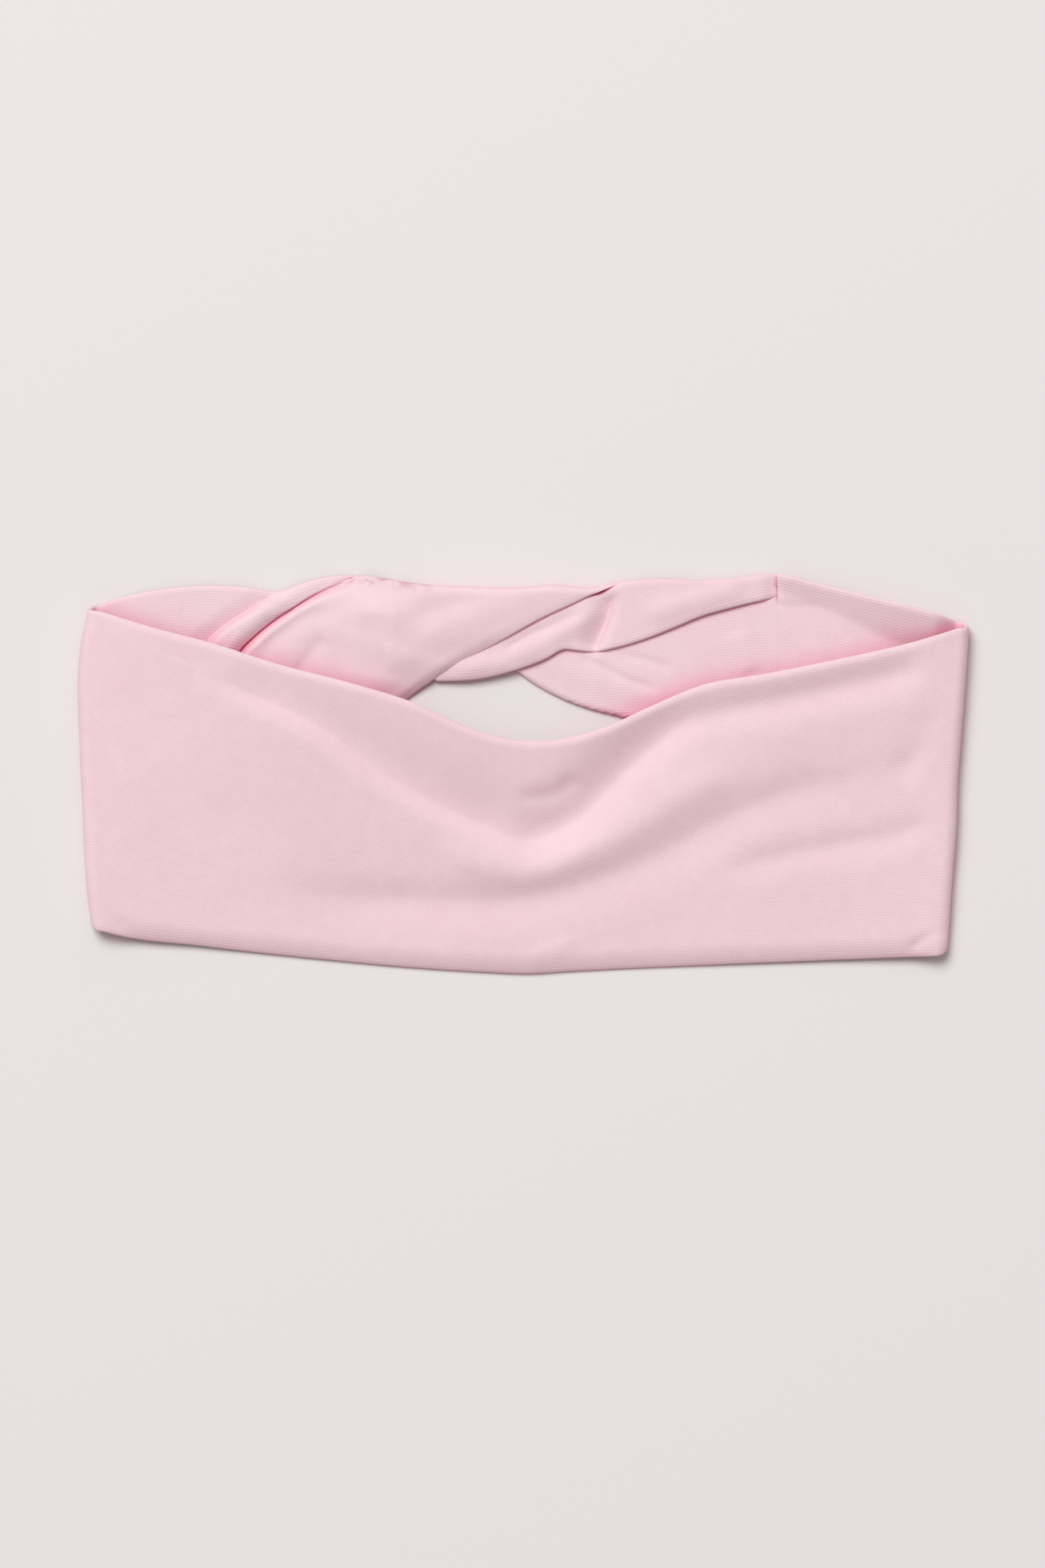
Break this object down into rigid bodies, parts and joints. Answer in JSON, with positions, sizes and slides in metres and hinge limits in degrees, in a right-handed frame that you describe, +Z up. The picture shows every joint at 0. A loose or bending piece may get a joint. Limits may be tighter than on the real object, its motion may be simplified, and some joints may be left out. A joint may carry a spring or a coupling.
{
  "type": "twist headband",
  "caption": "Wide two-ply cotton jersey hair band: a closed soft loop lying flat, with a section twisted one full turn that leaves a lens-shaped gap.",
  "frame": {"origin": "centre of the footprint of the band as it lies flat, on the surface it lies on", "axes": "+X along the flattened loop towards the end with the visible cross seam, +Y across the band towards the twist, +Z up"},
  "size_m": [0.234, 0.1045, 0.0135],
  "materials": {
    "jersey_face": "matt brushed cotton single jersey, face side, fine lengthwise courses",
    "jersey_lining": "matt brushed cotton single jersey, inner side",
    "sewing_thread": "matt spun thread in the colour of the cloth"
  },
  "bodies": {
    "root": {"panel_outer_ply": "jersey_face", "panel_lining": "jersey_lining", "twist_outer_ply": "jersey_face", "twist_lining": "jersey_lining", "panel_back_edge_thread": "sewing_thread", "panel_front_edge_thread": "sewing_thread", "twist_first_edge_thread": "sewing_thread", "twist_last_edge_thread": "sewing_thread", "left_cross_seam": "sewing_thread", "right_cross_seam": "sewing_thread"}
  },
  "joints": []
}
